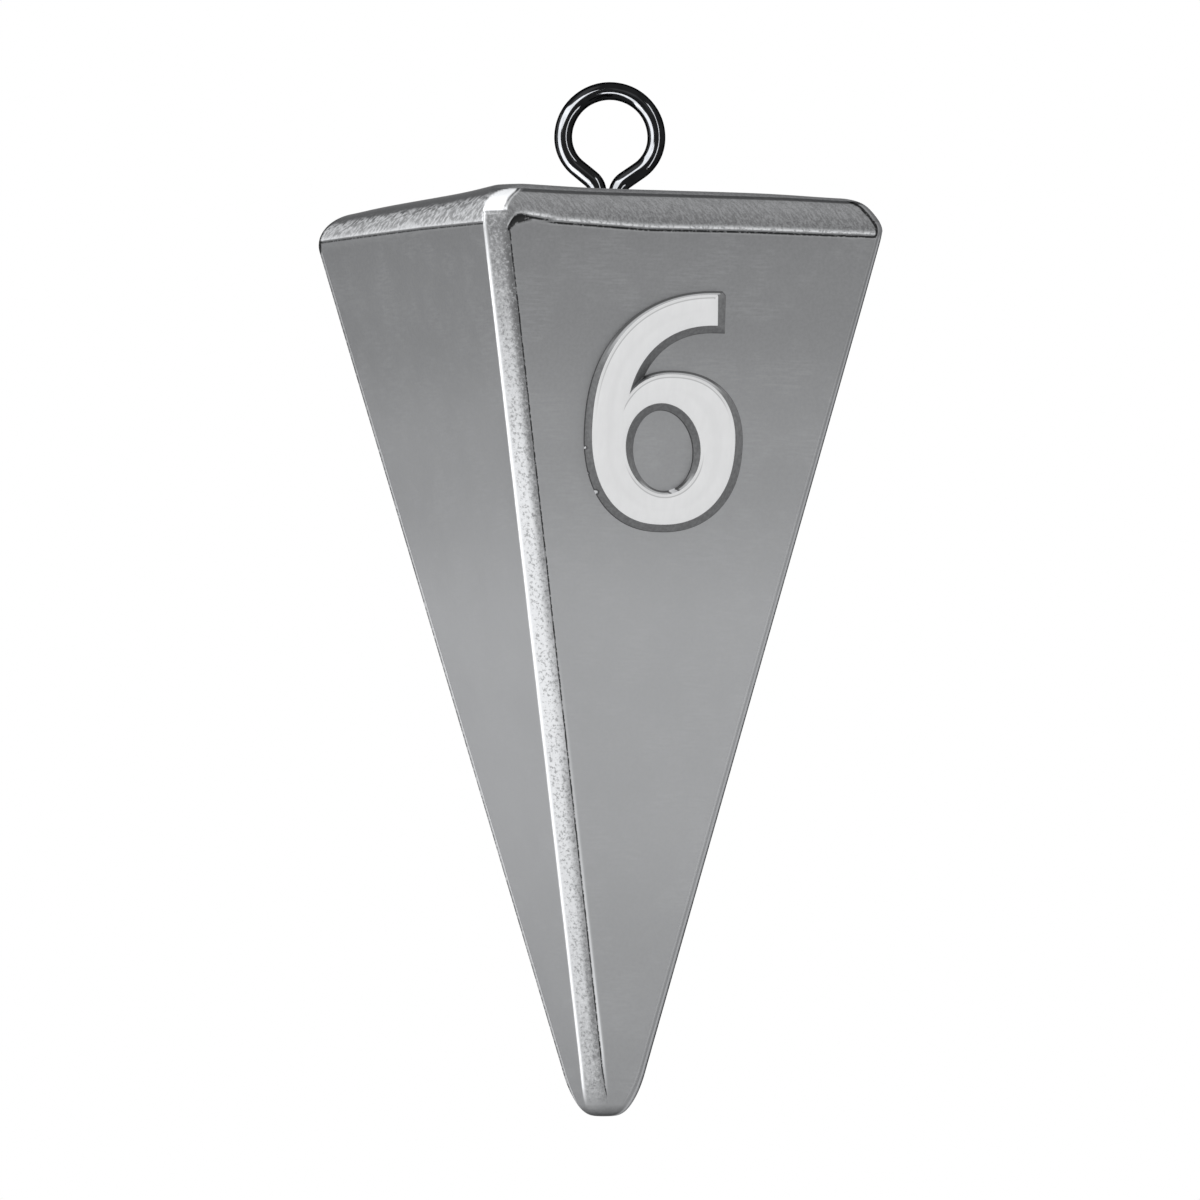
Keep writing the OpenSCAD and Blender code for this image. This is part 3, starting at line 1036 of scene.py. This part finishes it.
def lead_material():
    """Dull die-cast lead: faintly brushed panels, burnished and speckled edges and rim, painted
    light and shade that follows the height, painted highlights and dark lines of painted shade along
    the edges and rim, and painted shade in the grooves."""
    material, place = new_material("cast_lead")
    height = add(material.node_tree, "ShaderNodeSeparateXYZ", {0: place}).outputs["Z"]
    band, groove, rim, lip, across, rise, cap, dull, burnished, line = (
        attribute(material, label) for label in CASTING_VALUES
    )

    cloud = noise(place, 6.0, detail=4.0)
    brush = noise(place, 0.15, detail=3.0, stretch=(7, 7, 1))
    grain = noise(place, 0.1, detail=3.0, roughness=0.65)
    pits = noise(place, 0.19, detail=2.0, roughness=0.6)
    coarse = noise(place, 0.26, detail=3.0, roughness=0.6)
    mottle = noise(place, 0.2, detail=3.0, roughness=0.7)
    slanted = noise(place, 0.12, detail=2.0, stretch=(1, 1, 5), turn=(35, 35, 0))
    scuffs = noise(place, 0.19, detail=2.0, stretch=(1, 1, 3), turn=(-64, 0, 0))
    patch = noise(place, 2.6, detail=2.0)

    # Sides: painted light and shade that follows the height, darkest at the very point
    panel = tone_ramp(height, SIDE_TONES)
    panel = mixed(span(dull, 0.2, 0.7, 0.0, 0.14), panel, grey(0.1))
    panel = mixed(span(cloud, 0.3, 0.7, 0.0, 0.05), panel, grey(0.24))
    fine = times(span(brush, 0.35, 0.7), span(patch, 0.4, 0.62))
    panel = mixed(times(fine, 0.1), panel, grey(0.6))
    panel = mixed(span(mottle, 0.3, 0.7, 0.0, 0.07), panel, grey(0.6))
    # Painted highlight lines beside the near edge and on the right edge's flat
    panel = mixed(times(line, 0.85), panel, grey(0.95))

    # Edges' flats: painted light and shade along the height; the half next to the following side is
    # painted darker as shade
    edge = tone_ramp(height, BAND_TONES)
    worn = tone_ramp(height, SHADED_HALF_TONES)
    edge = mixed(span(across, 0.6, 0.95), edge, worn)
    pitted = times(span(mottle, 0.5, 0.34), span(across, 0.1, 0.3))
    edge = mixed(times(pitted, 0.65), edge, grey(0.16))
    edge = mixed(span(mottle, 0.5, 0.66, 0.0, 0.28), edge, grey(0.85))
    # Painted highlight along each flat's border with the side before it, at full strength from 7 mm
    # below the top
    highlight_from = -(EYE_RISE + 2) * MM
    highlight_to = -(EYE_RISE + 7) * MM
    border = times(span(across, 0.2, 0.04), span(rim, 0.5, 0.0))
    border = times(border, span(height, highlight_from, highlight_to, 0.5, 1.0))
    edge = mixed(border, edge, grey(0.95))
    edge = mixed(burnished, panel, edge)

    ragged = maths("ADD", rise, span(scuffs, 0.3, 0.7, 0.08, -0.08))
    bright = mixed(span(ragged, 0.4, 0.55), grey(0.4), grey(0.16))
    speckle = times(span(scuffs, 0.38, 0.62), span(rise, 0.56, 0.44))
    bright = mixed(times(speckle, 0.7), bright, grey(0.95))
    bright = mixed(span(mottle, 0.4, 0.6, 0.0, 0.25), bright, grey(0.25))
    smooth = mixed(span(rise, 0.1, 0.5), grey(0.17), grey(0.24))
    ring = maths("ABSOLUTE", maths("SUBTRACT", rise, 0.64))
    smooth = mixed(span(slanted, 0.38, 0.62, 0.0, 0.3), smooth, grey(0.45))
    smooth = mixed(span(grain, 0.5, 0.35, 0.0, 0.4), smooth, grey(0.08))
    smooth = mixed(span(ring, 0.07, 0.03, 0.0, 0.78), smooth, grey(0.04))
    even_top = maths("MAXIMUM", dull, span(rise, 0.8, 0.98))
    rolled = mixed(even_top, bright, smooth)
    torn = span(pits, 0.35, 0.55, 0.4, 1.0)
    # Painted highlight along the rim's lower lip
    lip_highlight = times(times(lip, torn), 0.95)
    rolled = mixed(lip_highlight, rolled, grey(0.9))
    # Painted highlight on the near corner of the rim, with the light line beside its nick
    cap_highlight = times(cap, span(grain, 0.2, 0.5, 0.8, 1.0))
    rolled = mixed(cap_highlight, rolled, grey(0.95))

    raised = mixed(rim, edge, rolled)
    colour = mixed(band, panel, raised)
    # Painted shade in the grooves, in the nick and along the dark lines of the edges
    groove_shade = times(groove, span(pits, 0.36, 0.52, 0.6, 1.2))
    colour = mixed(span(groove_shade, 0.15, 0.8, 0.0, 0.96), colour, grey(0.018))

    rough = span(cloud, 0.3, 0.7, 0.4, 0.46)
    worn_rough = span(grain, 0.3, 0.7, 0.42, 0.32)
    brushed = bump(brush, 0.1, 0.02)
    return shaded(material, {
        "Base Color": colour,
        "Metallic": 1.0,
        "Specular Tint": (0.35, 0.35, 0.355, 1),
        "Roughness": blended(band, rough, worn_rough),
        "Normal": bump(coarse, times(band, 0.4), 0.03, Normal=brushed),
    })


def flank_material():
    """Lead on the numeral's flanks: painted darker than the casting as shade, with chips, painted
    light where a flank faces up, and painted shade along the foot.
    """
    material, place = new_material("flank_lead")
    grain = noise(place, 0.22, detail=3.0)
    mark = attribute(material, "mark")
    lit = span(attribute(material, "facing"), 0.5, 0.8)
    worn = span(grain, 0.3, 0.45, 0.5, 1.0)
    spot = attribute(material, "chip")
    chip = times(spot, worn)
    # The flanks' dark lead is painted shade, and those facing up get painted light
    tone = mixed(span(grain, 0.3, 0.7), grey(0.15), grey(0.2))
    tone = mixed(lit, tone, grey(0.46))
    # Painted shade along the flanks' foot, wider where a flank faces away from the light
    foot = blended(lit, span(mark, 0.72, 0.95), span(mark, 0.38, 0.55))
    tone = mixed(times(foot, 0.88), tone, grey(0.04))
    tone = mixed(span(spot, 0.1, 0.3, 0.0, 0.8), tone, grey(0.07))
    tone = mixed(span(chip, 0.45, 0.65), tone, grey(0.6))
    return shaded(material, {
        "Base Color": tone,
        "Metallic": 1.0,
        "Roughness": 0.5,
        "Normal": bump(grain, 0.3, 0.02),
    })


def enamel_material():
    """Satin white enamel, with painted shade along the middle of each stroke and round its bevel at
    the upper left.
    """
    material, place = new_material("white_enamel")
    inset = attribute(material, "inset")
    mark = times(attribute(material, "mark"), span(attribute(material, "facing"), 0.1, 0.6))
    cloud = noise(place, 1.4, detail=3.0)
    fine = noise(place, 0.2, detail=3.0)
    streak = noise(place, 0.3, detail=2.0, stretch=(1, 1, 6))
    # Painted shade along the middle of each stroke
    middle = span(inset, 0.45, 0.8, 0.0, 0.4)
    tone = mixed(middle, grey(0.82, 0.004), grey(0.74, 0.004))
    tone = mixed(span(cloud, 0.3, 0.7, 0.0, 0.3), tone, grey(0.75, 0.004))
    tone = mixed(span(streak, 0.35, 0.7, 0.0, 0.25), tone, grey(0.74, 0.004))
    # Painted shade along the bevel at the upper left
    tone = mixed(times(mark, 0.75), tone, grey(0.42, 0.004))
    return shaded(material, {
        "Base Color": tone,
        "Roughness": span(fine, 0.3, 0.7, 0.32, 0.42),
        "Normal": bump(cloud, 0.25, 0.02),
    })


def wire_material():
    """Polished black-nickelled steel, with a few faint draw marks along it."""
    material, place = new_material("black_nickel")
    cloud = noise(place, 1.2, detail=3.0)
    fine = noise(place, 0.12, detail=2.0)
    tone = mixed(span(cloud, 0.3, 0.7), grey(0.011, 0.03), grey(0.017, 0.03))
    return shaded(material, {
        "Base Color": tone,
        "Metallic": 1.0,
        "Specular Tint": (0.07, 0.07, 0.074, 1),
        "Roughness": span(cloud, 0.3, 0.7, 0.06, 0.1),
        "Normal": bump(fine, 0.05, 0.01),
    })


casting = make_casting()
casting.data.materials.append(lead_material())
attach(casting, "root")
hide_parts("lead_body")

# The top of the casting would hide the studio's lamps from the polished wire just above it
casting.visible_glossy = False

relief = make_relief()
relief.data.materials.append(flank_material())
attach(relief, "root")

enamel = make_enamel()
enamel.data.materials.append(enamel_material())
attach(enamel, "root")
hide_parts("numeral_enamel")

wire = make_wire()
wire.data.materials.append(wire_material())
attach(wire, "root")
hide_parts("wire_eye")


# Studio: a white surround, a pale floor below the hanging part, soft lamps and a long lens

MIDDLE = Vector((-0.81, 0.04, -28.04)) * MM
CAMERA_TURN = -24.4
CAMERA_RISE = -3.4
CAMERA_ROLL = -0.33
CAMERA_AWAY = 1.5
CAMERA_NEAREST = 0.01
SENSOR_W = 36
VIEW_W = 72.5 * MM

# Each lamp's name, turn, rise, distance, width, height and radiance
LAMPS = (
    ("left_box", -108, 2, 0.9, 0.3, 1.0, 2.4),
    ("low_left_box", -66, -13, 0.6, 0.3, 0.2, 0.7),
    ("upper_left_box", -68, 50, 0.9, 0.3, 0.6, 2.0),
    ("front_box", -10, 30, 1.2, 0.5, 0.5, 1.6),
)
WIRE_LAMPS = (
    ("wire_left_box", -79, -3, 0.3, 0.12, 0.5, 60.0),
    ("wire_upper_box", -51, 24, 0.3, 0.16, 0.15, 60.0),
    ("wire_low_box", -45, -35, 0.3, 0.26, 0.08, 60.0),
    ("wire_right_strip", 21, 2, 0.3, 0.035, 0.4, 55.0),
)
WORLD_LEVEL = 0.76
FLOOR_SIZE = 3.0
FLOOR_Z = -0.3


def direction(turn, rise):
    """Unit vector from the part; a turn of 0 is towards -Y and grows towards +X."""
    turn = math.radians(turn)
    rise = math.radians(rise)
    return Vector((
        math.sin(turn) * math.cos(rise), -math.cos(turn) * math.cos(rise), math.sin(rise)
    ))


def look(obj, turn, rise, away, centre=MIDDLE):
    """Puts an object at a distance from a centre and turns it towards that centre."""
    way = direction(turn, rise)
    obj.location = centre + way * away
    obj.rotation_mode = "QUATERNION"
    obj.rotation_quaternion = way.to_track_quat("Z", "Y")


def make_camera():
    """The camera, at the angle from which the sinker was photographed."""
    data = bpy.data.cameras.new("camera")
    camera = linked("camera", data)
    look(camera, CAMERA_TURN, CAMERA_RISE, CAMERA_AWAY)
    roll = Quaternion((0, 0, 1), math.radians(CAMERA_ROLL))
    camera.rotation_quaternion = camera.rotation_quaternion @ roll
    data.sensor_width = SENSOR_W
    data.lens = SENSOR_W * CAMERA_AWAY / VIEW_W
    data.clip_start = CAMERA_NEAREST
    bpy.context.scene.camera = camera


def make_lamp(name, turn, rise, away, width, height, radiance, lit=None):
    """A soft rectangular lamp of even radiance that faces the part. It may light one piece only."""
    data = bpy.data.lights.new(name, "AREA")
    data.shape = "RECTANGLE"
    data.size = width
    data.size_y = height
    data.energy = radiance * math.pi * width * height
    lamp = linked(name, data)
    lamp.visible_camera = False
    if lit:
        look(lamp, turn, rise, away, Vector((0, 0, 0)))
        only = bpy.data.collections.new(name + "_lights")
        only.objects.link(lit)
        lamp.light_linking.receiver_collection = only
    else:
        look(lamp, turn, rise, away)


def make_world():
    """White for the camera and in reflections, and a plain level of light on the part."""
    world = bpy.data.worlds.new("surround")
    bpy.context.scene.world = world
    world.use_nodes = True
    tree = world.node_tree
    tree.nodes.clear()
    path = add(tree, "ShaderNodeLightPath")
    seen = maths("MAXIMUM", path.outputs["Is Camera Ray"], path.outputs["Is Glossy Ray"])
    seen = maths("MAXIMUM", seen, path.outputs["Is Transmission Ray"])
    strength = add(tree, "ShaderNodeMapRange", {0: seen, 3: WORLD_LEVEL, 4: 1.0}).outputs[0]
    background = add(tree, "ShaderNodeBackground", {"Color": (1, 1, 1, 1), "Strength": strength})
    add(tree, "ShaderNodeOutputWorld", {"Surface": background.outputs[0]})


def make_floor():
    """A pale floor well below the point, that keeps the part's shadow."""
    mesh = bpy.data.meshes.new("floor")
    signs = ((-1, -1), (1, -1), (1, 1), (-1, 1))
    corners = [(x * FLOOR_SIZE, y * FLOOR_SIZE, FLOOR_Z) for x, y in signs]
    mesh.from_pydata(corners, [], [(0, 1, 2, 3)])
    floor = linked("floor", mesh)
    material, place = new_material("pale_floor")
    cloud = noise(place, 60.0, detail=3.0)
    tone = mixed(span(cloud, 0.3, 0.7), grey(0.86, 0.002), grey(0.9, 0.002))
    mesh.materials.append(shaded(material, {"Base Color": tone, "Roughness": 0.7}))


make_camera()
make_world()
make_floor()
for lamp_values in LAMPS:
    make_lamp(*lamp_values)
for lamp_values in WIRE_LAMPS:
    make_lamp(*lamp_values, lit=wire)

bpy.context.scene.view_settings.view_transform = "Standard"
